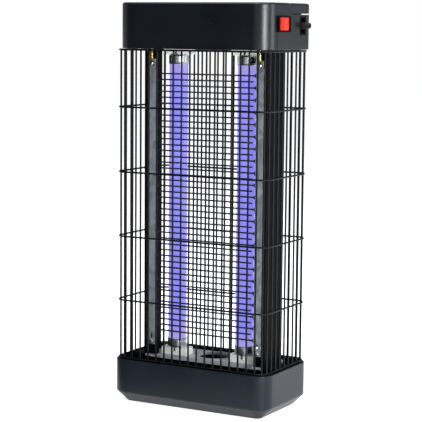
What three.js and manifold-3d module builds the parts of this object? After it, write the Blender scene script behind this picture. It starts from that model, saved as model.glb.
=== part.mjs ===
// Electric bug zapper: a free-standing tower with two ultraviolet lamps, an interdigitated
// high-voltage grid in front of them, a welded wire guard, a head with switch and fold-flat
// carry handle, and a lift-off insect tray. Millimetres, +Z up, +X to the switch side,
// -Y to the front. The origin is the middle of the tray's underside.
import * as THREE from 'three';
import { mergeVertices } from 'three/addons/utils/BufferGeometryUtils.js';
import Module from 'manifold-3d';

const wasm = await Module();
wasm.setup();

// ---------------------------------------------------------------- driving dimensions
const GAP = 0.3;                      // clearance kept between touching pieces
const FINE_GAP = 0.12;                // clearance of a cap round a tube
const PIN_GAP = 0.08;                 // running clearance of a pin in its bore
const TALL = 390;                     // whole height
const BEYOND = 200;                   // reach of a trimming block, past the part on every side

const TRAY = { width: 171, depth: 96, height: 43, corner: 16.4, chamfer: 11, wall: 2.4 };
const LEDGE = { inward: 12, halfDepth: 17, top: 34 };

const GUARD = {
  halfWidth: 80.8, halfDepth: 43.4, corner: 9.5,   // centreline of the upright wires
  wire: 1.8, pitch: 9.0, acrossFront: 17, acrossSide: 9,
  bottom: 43.4, top: 345.8, ringTop: 344.9, ringBottom: 44.3,
  ringOut: 0.9,                                    // rings stand this far outside the uprights
  rings: [101.5, 164.3, 227.1, 289.9],
};

const HEAD = { width: 163.8, front: -44, rear: 54.5, bottom: 346.2, corner: 16.5, wall: 2.4, bevel: 2.4 };
const PLATE = { bottom: 347.3, thick: 2, inset: 3 };
const SHOULDER = 379.3;               // level of the step that the folded handle lies over
const ISLAND = { halfWidth: 75.7, rear: 45.7, corner: 10 };
const HANDLE = { bottom: 380.4, pivotY: 5.7, pivotZ: 385, endRadius: 5, pinRadius: 1.6,
                 pinInner: 71.2, pinOuter: 79 };
const SCOOP = { halfWidth: 18, radius: 9, y: 55, z: 381, backing: 2.4 };

const POST = { inner: 65.2, thick: 1.6, front: -14.4, rear: { left: 15, right: 23 }, footOut: 79.6 };
const DECK = { top: 43.8, thick: 1.5, lip: 2.5, front: -8, rear: 31, drainY: 10.5, drainRadius: 16.5,
               tabInner: 53.5, tabFront: -16, ventX: 22.5, ventY: 11.5, ventRadius: 4,
               rimRadius: 18.2, rimHeight: 1 };
const LAMP = { x: 37.7, y: 0.5, glassRadius: 9.1, glassWall: 0.9, capRadius: 9.6, capHeight: 9,
               bottom: 51.9, top: 340.2, pinRadius: 1.1, pinSpacing: 4.75, pinLength: 3.8 };
const HOLDER = { width: 28, depth: 13, pocketRadius: 4.4, pocketDepth: 4.2, slot: 3.2 };

const GRID = { y: -12.7, sheet: 1, fingers: 45, lowest: 69.2, highest: 321.9, fingerWidth: 1.4,
               spineInner: 54.6, spineOuter: 61.5, tip: 51.4, flareLength: 2.6, flareHalf: 3.1 };
const STRIP = { inner: 55.2, outer: 62.9, front: -14.5, back: -13.5, bottom: 54.4, top: 336 };
const BLOCK = { inner: 54.8, outer: 63.3, front: -13.2, back: -6, top: 60, hangFrom: 324.5 };
const TERMINAL_Z = 331.5;

const SWITCH = { y: -13.2, z: 370.4, width: 25, height: 15, lip: 1.6, bodyDepth: 16,
                 rockerHalf: 8.9, rockerHigh: 11.6, tilt: 10 };
const PAD = { front: -25, rear: -1.2, top: 379, proud: 0.5 };
const INLET = { y: 29, z: 369, width: 13, height: 17.5, depth: 4, stubOut: 7.4 };

const SIDES = { left: -1, right: 1 };
const ROUND = 16;                     // facets of a visible round piece
const SMALL = 10;                     // facets of a small round piece

// ---------------------------------------------------------------- finishes
const finish = (color, roughness, metalness = 0) =>
  new THREE.MeshStandardMaterial({ color, roughness, metalness });
const FINISH = {
  blackPlastic: finish(0x14161a, 0.35),
  postPlastic: finish(0x1b1c20, 0.45),
  blackWire: finish(0x17181b, 0.4, 0.3),
  redRocker: finish(0xff3a30, 0.3),
  galvanised: finish(0xa9b0b4, 0.4, 0.9),
  steel: finish(0xb9bcc0, 0.35, 0.9),
  brass: finish(0xb08d4a, 0.35, 0.9),
  lampGlass: finish(0x9a96ff, 0.1),
  lampCap: finish(0xc9ccd2, 0.25, 0.9),
  creamPlastic: finish(0xf0ead2, 0.5),
  deckPaint: finish(0xc8cbd0, 0.4),
  board: finish(0x2f6b3a, 0.6),
  ironCore: finish(0x6f6a66, 0.5, 0.6),
  yellowTape: finish(0xd8b432, 0.6),
  capacitorSleeve: finish(0x24365c, 0.4),
  rubber: finish(0x121214, 0.7),
};

// ---------------------------------------------------------------- solid helpers
function toSolid(geometry) {
  const bare = geometry.index ? geometry.toNonIndexed() : geometry.clone();
  for (const name of Object.keys(bare.attributes)) {
    if (name !== 'position') bare.deleteAttribute(name);
  }
  const merged = mergeVertices(bare, 1e-4);
  const vertProperties = new Float32Array(merged.attributes.position.array);
  const triVerts = new Uint32Array(merged.index.array);
  return new wasm.Manifold(new wasm.Mesh({ numProp: 3, vertProperties, triVerts }));
}

function toGeometry(solid) {
  const mesh = solid.getMesh();
  const geometry = new THREE.BufferGeometry();
  geometry.setAttribute('position', new THREE.BufferAttribute(new Float32Array(mesh.vertProperties), 3));
  geometry.setIndex(new THREE.BufferAttribute(new Uint32Array(mesh.triVerts), 1));
  return geometry;
}

const join = (...pieces) => toGeometry(pieces.map(toSolid).reduce((a, b) => a.add(b)));
const cut = (body, ...tools) => toGeometry(tools.map(toSolid).reduce((a, b) => a.subtract(b), toSolid(body)));
const overlapOf = (a, b) => toGeometry(toSolid(a).intersect(toSolid(b)));

// ---------------------------------------------------------------- shape helpers
function block(low, high) {
  const size = high.map((value, i) => value - low[i]);
  const middle = high.map((value, i) => (value + low[i]) / 2);
  return new THREE.BoxGeometry(...size).translate(...middle);
}

function rod(radius, length, facets = SMALL) {
  return new THREE.CylinderGeometry(radius, radius, length, facets);
}
const rodX = (radius, length, x, y, z, facets) =>
  rod(radius, length, facets).rotateZ(Math.PI / 2).translate(x, y, z);
const rodY = (radius, length, x, y, z, facets) => rod(radius, length, facets).translate(x, y, z);
const rodZ = (radius, length, x, y, z, facets) =>
  rod(radius, length, facets).rotateX(Math.PI / 2).translate(x, y, z);

function roundedRectangle(left, right, front, rear, corner) {
  const shape = new THREE.Shape();
  shape.absarc(right - corner, front + corner, corner, -Math.PI / 2, 0);
  shape.absarc(right - corner, rear - corner, corner, 0, Math.PI / 2);
  shape.absarc(left + corner, rear - corner, corner, Math.PI / 2, Math.PI);
  shape.absarc(left + corner, front + corner, corner, Math.PI, Math.PI * 1.5);
  return shape;
}

function prism(shape, low, high, curveSegments = 4) {
  const settings = { depth: high - low, bevelEnabled: false, curveSegments };
  return new THREE.ExtrudeGeometry(shape, settings).translate(0, 0, low);
}

// A prism whose bottom edge is chamfered inwards by the same size.
function chamferedPrism(shape, low, high, chamfer) {
  const settings = { depth: high - low, bevelEnabled: true, bevelThickness: chamfer, bevelSize: chamfer,
                     bevelOffset: -chamfer, bevelSegments: 1, curveSegments: 4 };
  const body = new THREE.ExtrudeGeometry(shape, settings).translate(0, 0, low + chamfer);
  return overlapOf(body, block([-200, -200, low], [200, 200, high]));
}

// A profile drawn in the (Y, Z) plane, made solid from one X to another.
function sideProfile(points, lowX, highX) {
  const shape = new THREE.Shape(points.map(([y, z]) => new THREE.Vector2(y, z)));
  return prism(shape, lowX, highX).applyMatrix4(new THREE.Matrix4().set(
    0, 0, 1, 0,
    1, 0, 0, 0,
    0, 1, 0, 0,
    0, 0, 0, 1));
}

// ---------------------------------------------------------------- scene helpers
const zapper = new THREE.Group();
zapper.name = 'bug_zapper';

function place(parent, name, geometry, material, x = 0, y = 0, z = 0) {
  const mesh = new THREE.Mesh(geometry, material);
  mesh.name = name;
  mesh.position.set(x, y, z);
  parent.add(mesh);
  return mesh;
}

// ---------------------------------------------------------------- insect tray
function buildTray() {
  const { width, depth, height, corner, chamfer, wall } = TRAY;
  const outline = inset => roundedRectangle(
    -width / 2 + inset, width / 2 - inset, -depth / 2 + inset, depth / 2 - inset, corner - inset);
  const shell = cut(
    chamferedPrism(outline(0), 0, height, chamfer),
    chamferedPrism(outline(wall), wall, height + 10, chamfer - wall / 2));
  const ledges = Object.values(SIDES).map(side => {
    const wallFace = side * (width / 2 - wall / 2);
    const inner = wallFace - side * LEDGE.inward;
    return block(
      [Math.min(wallFace, inner), -LEDGE.halfDepth, wall / 2],
      [Math.max(wallFace, inner), LEDGE.halfDepth, LEDGE.top]);
  });
  const reach = chamferedPrism(outline(wall / 2), wall / 4, height, chamfer);
  const fitted = ledges.map(ledge => overlapOf(ledge, reach));
  place(zapper, 'insect_tray', join(shell, ...fitted), FINISH.blackPlastic);
}

// ---------------------------------------------------------------- tower frame: posts and deck
function buildPost(tower, sideName) {
  const side = SIDES[sideName];
  const { inner, thick, front, rear, footOut } = POST;
  const span = (a, b) => [Math.min(side * a, side * b), Math.max(side * a, side * b)];
  const [wallLow, wallHigh] = span(inner, inner + thick);
  const low = LEDGE.top + GAP;
  const wall = block([wallLow, front, low], [wallHigh, rear[sideName], PLATE.bottom - GAP]);
  const [footLow, footHigh] = span(inner + thick / 2, footOut);
  const foot = block([footLow, front, low], [footHigh, rear.left, DECK.top]);
  place(tower, `side_post_${sideName}`, join(wall, foot), FINISH.postPlastic);
}

// A three-sided vent beside the drain hole, pointing away from it.
function deckVent(side) {
  const { ventX, ventY, ventRadius, top } = DECK;
  const turned = new THREE.CylinderGeometry(ventRadius, ventRadius, 20, 3).rotateX(Math.PI / 2);
  return turned.rotateZ(side * Math.PI / 2).translate(side * ventX, ventY, top);
}

function buildDeck(tower) {
  const { top, thick, lip, front, rear, tabInner, tabFront } = DECK;
  const { drainY, drainRadius, rimRadius, rimHeight } = DECK;
  const halfWidth = POST.inner - GAP;
  const sheet = block([-halfWidth, front, top - thick], [halfWidth, rear, top]);
  const tabs = [[-halfWidth, -tabInner], [tabInner, halfWidth]].map(([low, high]) =>
    block([low, tabFront, top - thick], [high, front + 1, top]));
  const lips = [front, rear - 1.2].map(y =>
    block([-halfWidth, y, top - thick - lip], [halfWidth, y + 1.2, top]));
  const rim = rodZ(rimRadius, thick + rimHeight, 0, drainY, top - (thick - rimHeight) / 2, 24);
  const drain = rodZ(drainRadius, 20, 0, drainY, top, 24);
  const vents = Object.values(SIDES).map(deckVent);
  place(tower, 'deck_plate', cut(join(sheet, ...tabs, ...lips, rim), drain, ...vents), FINISH.deckPaint);
}

// ---------------------------------------------------------------- lamps and their holders
function lampHolder(low, high, mouthUp) {
  const { width, depth, pocketRadius, pocketDepth, slot } = HOLDER;
  const body = block([-width / 2, -depth / 2, low], [width / 2, depth / 2, high]);
  const floor = mouthUp ? high - pocketDepth : low + pocketDepth;
  const [pocketLow, pocketHigh] = mouthUp ? [floor, high + 1] : [low - 1, floor];
  const pocket = rodZ(pocketRadius, pocketHigh - pocketLow, 0, 0, (pocketLow + pocketHigh) / 2, 12);
  const entry = block([-slot / 2, -depth, pocketLow], [slot / 2, 0, pocketHigh]);
  return cut(body, pocket, entry);
}

function lampCap() {
  const { capRadius, glassRadius, capHeight, pinRadius, pinSpacing, pinLength } = LAMP;
  const inner = glassRadius + FINE_GAP;
  const cup = [[0, 0], [capRadius, 0], [capRadius, capHeight], [inner, capHeight], [inner, 2], [0, 2]];
  const section = cup.map(([r, z]) => new THREE.Vector2(r, z));
  const skirt = new THREE.LatheGeometry(section, ROUND).rotateX(Math.PI / 2);
  const pins = [-1, 1].map(s =>
    rodZ(pinRadius, pinLength + 1, s * pinSpacing / 2, 0, (1 - pinLength) / 2, 8));
  return join(skirt, ...pins);
}

function lampGlass(length) {
  const { glassRadius, glassWall } = LAMP;
  const wall = [[glassRadius - glassWall, 0], [glassRadius, 0], [glassRadius, length],
                [glassRadius - glassWall, length], [glassRadius - glassWall, 0]];
  return new THREE.LatheGeometry(wall.map(([r, z]) => new THREE.Vector2(r, z)), ROUND).rotateX(Math.PI / 2);
}

function buildLamp(tower, sideName) {
  const x = SIDES[sideName] * LAMP.x;
  const capFloor = 2 + GAP;
  const glassLength = LAMP.top - LAMP.bottom - 2 * capFloor;
  place(tower, `lamp_tube_${sideName}`, lampGlass(glassLength), FINISH.lampGlass,
    x, LAMP.y, LAMP.bottom + capFloor);
  place(tower, `lamp_cap_lower_${sideName}`, lampCap(), FINISH.lampCap, x, LAMP.y, LAMP.bottom);
  const upper = place(tower, `lamp_cap_upper_${sideName}`, lampCap(), FINISH.lampCap, x, LAMP.y, LAMP.top);
  upper.rotation.x = Math.PI;
  const lower = lampHolder(DECK.top + GAP, LAMP.bottom - GAP, true);
  place(tower, `lampholder_lower_${sideName}`, lower, FINISH.creamPlastic, x, LAMP.y);
  const hanging = lampHolder(LAMP.top + GAP, PLATE.bottom - GAP, false);
  place(tower, `lampholder_upper_${sideName}`, hanging, FINISH.creamPlastic, x, LAMP.y);
}

// ---------------------------------------------------------------- high-voltage grid
// The outline of one comb: a spine on the outer side, and a finger at each given height
// that flares where it leaves the spine. Drawn for the right-hand side.
function combOutline(heights) {
  const { spineInner, spineOuter, tip, flareLength, flareHalf, fingerWidth, lowest, highest } = GRID;
  const half = fingerWidth / 2;
  const shape = new THREE.Shape();
  shape.moveTo(spineOuter, lowest - 6);
  shape.lineTo(spineOuter, highest + 6);
  shape.lineTo(spineInner, highest + 6);
  for (const z of [...heights].reverse()) {
    shape.lineTo(spineInner, z + flareHalf);
    shape.lineTo(spineInner - flareLength, z + half);
    shape.lineTo(-tip, z + half);
    shape.lineTo(-tip, z - half);
    shape.lineTo(spineInner - flareLength, z - half);
    shape.lineTo(spineInner, z - flareHalf);
  }
  shape.lineTo(spineInner, lowest - 6);
  shape.closePath();
  return shape;
}

function buildComb(tower, sideName, startIndex) {
  const pitch = (GRID.highest - GRID.lowest) / (GRID.fingers - 1);
  const heights = [];
  for (let i = startIndex; i < GRID.fingers; i += 2) heights.push(GRID.lowest + i * pitch);
  const sheet = prism(combOutline(heights), 0, GRID.sheet).rotateX(Math.PI / 2);
  if (sideName === 'left') sheet.rotateZ(Math.PI).translate(0, -GRID.sheet, 0);
  place(tower, `grid_comb_${sideName}`, sheet, FINISH.galvanised, 0, GRID.y + GRID.sheet / 2);
}

function buildStrip(tower, sideName) {
  const side = SIDES[sideName];
  const middle = (STRIP.inner + STRIP.outer) / 2;
  const half = (STRIP.outer - STRIP.inner) / 2;
  const sheet = block([-half, STRIP.front, STRIP.bottom], [half, STRIP.back, STRIP.top]);
  const slotLow = STRIP.bottom + 7;
  const slot = join(
    block([-1.1, STRIP.front - 1, slotLow], [1.1, STRIP.back + 1, slotLow + 4]),
    rodY(1.1, 4, 0, STRIP.front, slotLow, SMALL), rodY(1.1, 4, 0, STRIP.front, slotLow + 4, SMALL));
  const holes = [STRIP.bottom + 2.8, TERMINAL_Z].map(z => rodY(1.5, 4, 0, STRIP.front, z, SMALL));
  place(tower, `bus_strip_${sideName}`, cut(sheet, slot, ...holes), FINISH.galvanised, side * middle);
}

function buildInsulators(tower, sideName) {
  const side = SIDES[sideName];
  const middle = (BLOCK.inner + BLOCK.outer) / 2;
  const half = (BLOCK.outer - BLOCK.inner) / 2;
  const screwHole = z => rodY(1.3, 12, 0, BLOCK.front, z, SMALL);
  const lower = cut(
    block([-half, BLOCK.front, DECK.top + GAP], [half, BLOCK.back, BLOCK.top]),
    screwHole(STRIP.bottom + 2.8));
  place(tower, `grid_insulator_lower_${sideName}`, lower, FINISH.postPlastic, side * middle);
  const upper = cut(
    block([-half, BLOCK.front, BLOCK.hangFrom + 4], [half, BLOCK.back, PLATE.bottom - GAP]),
    screwHole(TERMINAL_Z));
  place(tower, `grid_insulator_upper_${sideName}`, upper, FINISH.postPlastic, side * middle);
}

function screw(headRadius, headHigh, shankRadius, shankLong) {
  const profile = [[0, 0], [headRadius * 0.7, 0], [headRadius, headHigh * 0.5], [headRadius, headHigh],
                   [shankRadius, headHigh], [shankRadius, headHigh + shankLong], [0, headHigh + shankLong]];
  const body = new THREE.LatheGeometry(profile.map(([r, y]) => new THREE.Vector2(r, y)), SMALL);
  const slot = block([-0.25, -0.5, -headRadius], [0.25, headHigh * 0.5, headRadius]);
  return cut(body, slot);
}

function buildTerminal(tower, sideName) {
  const x = SIDES[sideName] * (STRIP.inner + STRIP.outer) / 2;
  const face = STRIP.front - GAP;
  const eye = cut(rodY(2.9, 0.8, 0, 0, 0, 12), rodY(1.5, 2, 0, 0, 0, SMALL));
  const tongue = block([-1.3, -0.4, 2.3], [1.3, 0.4, PLATE.bottom - TERMINAL_Z + 3]);
  const lug = cut(join(eye, tongue), rodY(1.5, 2, 0, 0, 0, SMALL));
  place(tower, `terminal_lug_${sideName}`, lug, FINISH.brass, x, face - 0.4, TERMINAL_Z);
  const head = face - 0.8 - GAP;
  place(tower, `terminal_screw_${sideName}`, screw(2.3, 1.2, 1.1, 6), FINISH.steel,
    x, head - 1.2, TERMINAL_Z);
  place(tower, `strip_screw_${sideName}`, screw(2.3, 1.2, 1.1, 6), FINISH.steel,
    x, face - 1.2, STRIP.bottom + 2.8);
}

// ---------------------------------------------------------------- wire guard
// One side of the guard seen from above, facing -Y: its rings run straight and then round part
// of the corner at each end, outside the upright wires.
function ringBand(halfRun, cornerTurn, level) {
  const half = GUARD.wire / 2;
  const outer = GUARD.corner + GUARD.ringOut + half;
  const inner = outer - GUARD.wire;
  const down = -Math.PI / 2;
  const shape = new THREE.Shape();
  shape.absarc(-halfRun, GUARD.corner, outer, down - cornerTurn, down);
  shape.absarc(halfRun, GUARD.corner, outer, down, down + cornerTurn);
  shape.absarc(halfRun, GUARD.corner, inner, down + cornerTurn, down, true);
  shape.absarc(-halfRun, GUARD.corner, inner, down, down - cornerTurn, true);
  return prism(shape, level - half + 0.02, level + half - 0.02, 2);
}

function guardPanel(count, halfRun, cornerTurn, withCornerWires) {
  const half = GUARD.wire / 2;
  const wire = (x, y) => block([x - half, y - half, GUARD.bottom], [x + half, y + half, GUARD.top]);
  const uprights = Array.from({ length: count }, (_, i) => wire((i - (count - 1) / 2) * GUARD.pitch, 0));
  if (withCornerWires) {
    const along = halfRun + GUARD.corner * Math.SQRT1_2;
    const back = GUARD.corner * (1 - Math.SQRT1_2);
    uprights.push(wire(-along, back), wire(along, back));
  }
  const levels = [GUARD.ringBottom, ...GUARD.rings, GUARD.ringTop];
  return join(...uprights, ...levels.map(z => ringBand(halfRun, cornerTurn, z)));
}

function buildGuard(tower) {
  const { halfWidth, halfDepth, corner, acrossFront, acrossSide } = GUARD;
  const wideTurn = THREE.MathUtils.degToRad(58);
  const narrowTurn = THREE.MathUtils.degToRad(30);
  const broad = guardPanel(acrossFront, halfWidth - corner, wideTurn, true);
  const narrow = guardPanel(acrossSide, halfDepth - corner, narrowTurn, false);
  place(tower, 'guard_front', broad, FINISH.blackWire, 0, -halfDepth);
  place(tower, 'guard_rear', broad, FINISH.blackWire, 0, halfDepth).rotation.z = Math.PI;
  for (const [sideName, side] of Object.entries(SIDES)) {
    const panel = place(tower, `guard_${sideName}`, narrow, FINISH.blackWire, side * halfWidth);
    panel.rotation.z = side * Math.PI / 2;
  }
}

// ---------------------------------------------------------------- head
const headOutline = (inset, corner) => roundedRectangle(
  -HEAD.width / 2 + inset, HEAD.width / 2 - inset, HEAD.front + inset, HEAD.rear - inset, corner);

// The head's full outer form: a rounded block with a bevel round its top edge.
function headForm(low) {
  const settings = { depth: TALL - HEAD.bottom, bevelEnabled: true, bevelThickness: HEAD.bevel,
                     bevelSize: HEAD.bevel, bevelOffset: -HEAD.bevel, bevelSegments: 2, curveSegments: 5 };
  const body = new THREE.ExtrudeGeometry(headOutline(0, HEAD.corner), settings);
  body.translate(0, 0, HEAD.bottom - HEAD.bevel);
  return overlapOf(body, block([-BEYOND, -BEYOND, low], [BEYOND, BEYOND, TALL + 1]));
}

const island = (grow, low, high) => prism(roundedRectangle(
  -ISLAND.halfWidth - grow, ISLAND.halfWidth + grow,
  HEAD.front - 20, ISLAND.rear + grow, ISLAND.corner), low, high);

function buildHeadShell(tower) {
  const { wall } = HEAD;
  const roofUnderShoulder = SHOULDER - wall;
  const cavity = prism(headOutline(wall, HEAD.corner - wall), HEAD.bottom - 1, roofUnderShoulder);
  const crown = overlapOf(
    prism(headOutline(wall, HEAD.corner - wall), roofUnderShoulder - 1, TALL - wall),
    prism(roundedRectangle(-ISLAND.halfWidth + wall, ISLAND.halfWidth - wall, HEAD.front - 20,
      ISLAND.rear - wall, ISLAND.corner - wall), roofUnderShoulder - 1, TALL - wall));
  const nose = noseArc(HANDLE.endRadius + GAP + 0.1).slice(3);
  const pocketProfile = [[nose[0][0], TALL + 5], ...nose,
    [HANDLE.pivotY + 3, SHOULDER], [80, SHOULDER], [80, TALL + 5]];
  const rebate = cut(sideProfile(pocketProfile, -100, 100), island(0, SHOULDER - 5, TALL + 10));
  const pad = overlapOf(
    block([HEAD.width / 2 - 1, PAD.front, HEAD.bottom], [HEAD.width / 2 + PAD.proud, PAD.rear, PAD.top]),
    block([-BEYOND, -BEYOND, HEAD.bottom], [BEYOND, BEYOND, SHOULDER]));
  const switchHole = block(
    [HEAD.width / 2 - 8, SWITCH.y - 10.6, SWITCH.z - 6.4],
    [HEAD.width / 2 + 4, SWITCH.y + 10.6, SWITCH.z + 6.4]);
  const inletHole = block(
    [HEAD.width / 2 - 8, INLET.y - INLET.width / 2, INLET.z - INLET.height / 2],
    [HEAD.width / 2 + 4, INLET.y + INLET.width / 2, INLET.z + INLET.height / 2]);
  const pinHoles = Object.values(SIDES).map(side => rodX(
    HANDLE.pinRadius + PIN_GAP, 12, side * ISLAND.halfWidth, HANDLE.pivotY, HANDLE.pivotZ, 12));
  const bosses = bossPlaces().map(([x, y]) => screwBoss(x, y, TALL - wall + 1));
  const form = join(headForm(HEAD.bottom), pad);
  const hollow = cut(form, cavity, crown, rebate, switchHole, inletHole, ...pinHoles);
  const { halfWidth, radius, y, z, backing } = SCOOP;
  const scoopBack = block(
    [-halfWidth - backing, y - radius - backing, z - radius - backing],
    [halfWidth + backing, HEAD.rear - wall / 2, SHOULDER - wall / 2]);
  const scoop = rodX(radius, 2 * halfWidth, 0, y, z, 24);
  place(tower, 'head_shell', cut(join(hollow, ...bosses, scoopBack), scoop), FINISH.blackPlastic);
}

function screwBoss(x, y, top) {
  const low = PLATE.bottom + PLATE.thick + GAP;
  return cut(rodZ(3.4, top - low, x, y, (top + low) / 2, SMALL), rodZ(1.3, 16, x, y, low, SMALL));
}

const bossPlaces = () => [[-60, -34], [60, -34], [-60, 38], [60, 38]];

function buildHeadPlate(tower) {
  const { bottom, thick, inset } = PLATE;
  const sheet = prism(headOutline(inset, HEAD.corner - inset), bottom, bottom + thick);
  const standoffs = boardPlaces().map(([x, y]) => rodZ(2.6, 3, x, y, bottom + thick + 1, SMALL));
  const holes = bossPlaces().map(([x, y]) => rodZ(1.6, 8, x, y, bottom, SMALL));
  const lugSlots = Object.values(SIDES).map(side => block(
    [side * (STRIP.inner + STRIP.outer) / 2 - 2, STRIP.front - 2.4, bottom - 1],
    [side * (STRIP.inner + STRIP.outer) / 2 + 2, STRIP.front + 0.4, bottom + thick + 1]));
  place(tower, 'head_base_plate', cut(join(sheet, ...standoffs), ...holes, ...lugSlots), FINISH.blackPlastic);
  bossPlaces().forEach(([x, y], i) => {
    const fastener = screw(2.8, 1.4, 1.1, 9).rotateX(Math.PI / 2);
    place(tower, `plate_screw_${i + 1}`, fastener, FINISH.steel, x, y, bottom - 1.4 - FINE_GAP);
  });
}

// ---------------------------------------------------------------- electronics inside the head
const BOARD = { halfWidth: 45, front: -2, rear: 46, thick: 1.6 };
const boardPlaces = () => [[-41, 2], [41, 2], [-41, 42], [41, 42]];

function buildElectronics(tower) {
  const bottom = PLATE.bottom + PLATE.thick + 2.5 + GAP;
  const top = bottom + BOARD.thick;
  const board = block([-BOARD.halfWidth, BOARD.front, bottom], [BOARD.halfWidth, BOARD.rear, top]);
  place(tower, 'circuit_board', board, FINISH.board);
  const base = top + GAP;
  for (const [sideName, side] of Object.entries(SIDES)) {
    const core = block([-14, -11, 0], [14, 11, 14]);
    const coil = block([-8, -15, 1.5], [8, 15, 12.5]);
    place(tower, `lamp_ballast_${sideName}`, join(core, coil), FINISH.ironCore, side * 26, 27, base);
    place(tower, `filter_capacitor_${sideName}`, rodZ(4, 14, 0, 0, 7, 12),
      FINISH.capacitorSleeve, side * 14, 5, base);
  }
  const bobbin = join(block([-8, -9, 0], [8, 9, 15]), block([-5.5, -11, 2], [5.5, 11, 13]));
  place(tower, 'high_voltage_transformer', bobbin, FINISH.yellowTape, 0, 27, base);
  const ways = [-7.3, 0, 7.3].map(x => rodY(1.6, 6, x, -4, 4.5, 8));
  const terminal = cut(block([-11, -4, 0], [11, 4, 9]), ...ways);
  place(tower, 'mains_terminal_block', terminal, FINISH.creamPlastic, 30, 4.5, base);
}

// ---------------------------------------------------------------- rocker switch
function buildSwitch(tower) {
  const face = HEAD.width / 2 + PAD.proud + FINE_GAP;
  const { width, height, lip, bodyDepth, rockerHalf, rockerHigh } = SWITCH;
  const bezel = block([0, -width / 2, -height / 2], [lip, width / 2, height / 2]);
  const housing = block([-bodyDepth, -10.3, -6.1], [0.5, 10.3, 6.1]);
  const well = block(
    [-9.5, -rockerHalf - 0.95, -rockerHigh / 2 - 0.15],
    [lip + 1, rockerHalf + 0.95, rockerHigh / 2 + 0.15]);
  const tabs = [-5, 0, 5].map(y => block([-bodyDepth - 6, y - 0.4, -2.4], [-bodyDepth + 1, y + 0.4, 2.4]));
  place(tower, 'switch_body', join(cut(join(bezel, housing), well), ...tabs), FINISH.blackPlastic,
    face, SWITCH.y, SWITCH.z);
  const profile = new THREE.Shape([[-rockerHalf, 1.5], [-rockerHalf, 5.6], [0, 4.1], [rockerHalf, 5.6],
    [rockerHalf, 1.5], [0, -3.2]].map(([u, v]) => new THREE.Vector2(v, u)));
  const rocker = prism(profile, -rockerHigh / 2, rockerHigh / 2);
  const key = place(tower, 'switch_rocker', rocker, FINISH.redRocker, face + lip - 5, SWITCH.y, SWITCH.z);
  key.rotation.z = THREE.MathUtils.degToRad(SWITCH.tilt);
}

// ---------------------------------------------------------------- mains inlet
function buildInlet(tower) {
  const { width, height, depth, stubOut } = INLET;
  const gapHalf = [width / 2 - GAP, height / 2 - GAP];
  const back = HEAD.wall + depth;
  const cup = cut(
    block([-back, -gapHalf[0], -gapHalf[1]], [-0.4, gapHalf[0], gapHalf[1]]),
    block([-depth, -gapHalf[0] + 1.2, -gapHalf[1] + 1.2], [1, gapHalf[0] - 1.2, gapHalf[1] - 1.2]),
    rodX(3.4, 20, 0, 0, 0, 12));
  place(tower, 'inlet_surround', cup, FINISH.blackPlastic, HEAD.width / 2, INLET.y, INLET.z);
  const profile = [[0, -back - 2], [4.4, -back - 2], [4.4, -back - GAP], [3.1, -back - GAP],
    [3.1, 1.5], [2.6, stubOut],
                   [1.8, stubOut], [1.8, -back + 2], [0, -back + 2]];
  const section = profile.map(([r, x]) => new THREE.Vector2(r, x));
  const gland = new THREE.LatheGeometry(section, 12).rotateZ(-Math.PI / 2);
  place(tower, 'cord_gland', gland, FINISH.rubber, HEAD.width / 2, INLET.y, INLET.z);
}

// ---------------------------------------------------------------- carry handle
// Half circle round the handle's pivot, from straight up over the front to straight down.
function noseArc(radius) {
  const steps = 6;
  return Array.from({ length: steps + 1 }, (_, i) => {
    const angle = Math.PI / 2 + Math.PI * i / steps;
    return [HANDLE.pivotY + radius * Math.cos(angle), HANDLE.pivotZ + radius * Math.sin(angle)];
  });
}

function buildHandle(tower) {
  const { bottom, pivotY, pivotZ, endRadius, pinRadius, pinInner, pinOuter } = HANDLE;
  const ring = cut(headForm(SHOULDER), island(GAP, SHOULDER - 5, TALL + 10));
  const outline = [...noseArc(endRadius), [pivotY + 4, bottom], [80, bottom], [80, TALL + 5], [pivotY, TALL + 5]];
  const side = sideProfile(outline, -100, 100);
  const bail = overlapOf(ring, side);
  const bores = Object.values(SIDES).map(s => rodX(
    pinRadius + PIN_GAP, 10, s * (pinOuter + GAP - 5), pivotY, pivotZ, 12));
  place(tower, 'carry_handle', cut(bail, ...bores), FINISH.blackPlastic);
  for (const [sideName, s] of Object.entries(SIDES)) {
    const pin = rodX(pinRadius, pinOuter - pinInner, s * (pinOuter + pinInner) / 2, 0, 0, 12);
    place(tower, `handle_pin_${sideName}`, pin, FINISH.steel, 0, pivotY, pivotZ);
  }
}

// ---------------------------------------------------------------- assembly
buildTray();
const tower = new THREE.Group();
zapper.add(tower);
for (const sideName of Object.keys(SIDES)) {
  buildPost(tower, sideName);
  buildLamp(tower, sideName);
  buildStrip(tower, sideName);
  buildInsulators(tower, sideName);
  buildTerminal(tower, sideName);
}
buildDeck(tower);
buildComb(tower, 'left', 1);
buildComb(tower, 'right', 0);
buildGuard(tower);
buildHeadShell(tower);
buildHeadPlate(tower);
buildElectronics(tower);
buildSwitch(tower);
buildInlet(tower);
buildHandle(tower);

export default zapper;
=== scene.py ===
"""The looks of a free-standing electric bug zapper, built round its CAD frame.

Metres, +Z up, -Y out of the front, +X out of the side with the switch. Each sub-assembly is a
class that makes its own meshes and materials and says which CAD nodes they stand for.
"""
import logging
import math
from abc import ABC, abstractmethod
from dataclasses import dataclass, field
from enum import Enum
from typing import Callable, Iterable, Sequence

import bmesh
import bpy
from mathutils import Matrix, Vector


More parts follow.
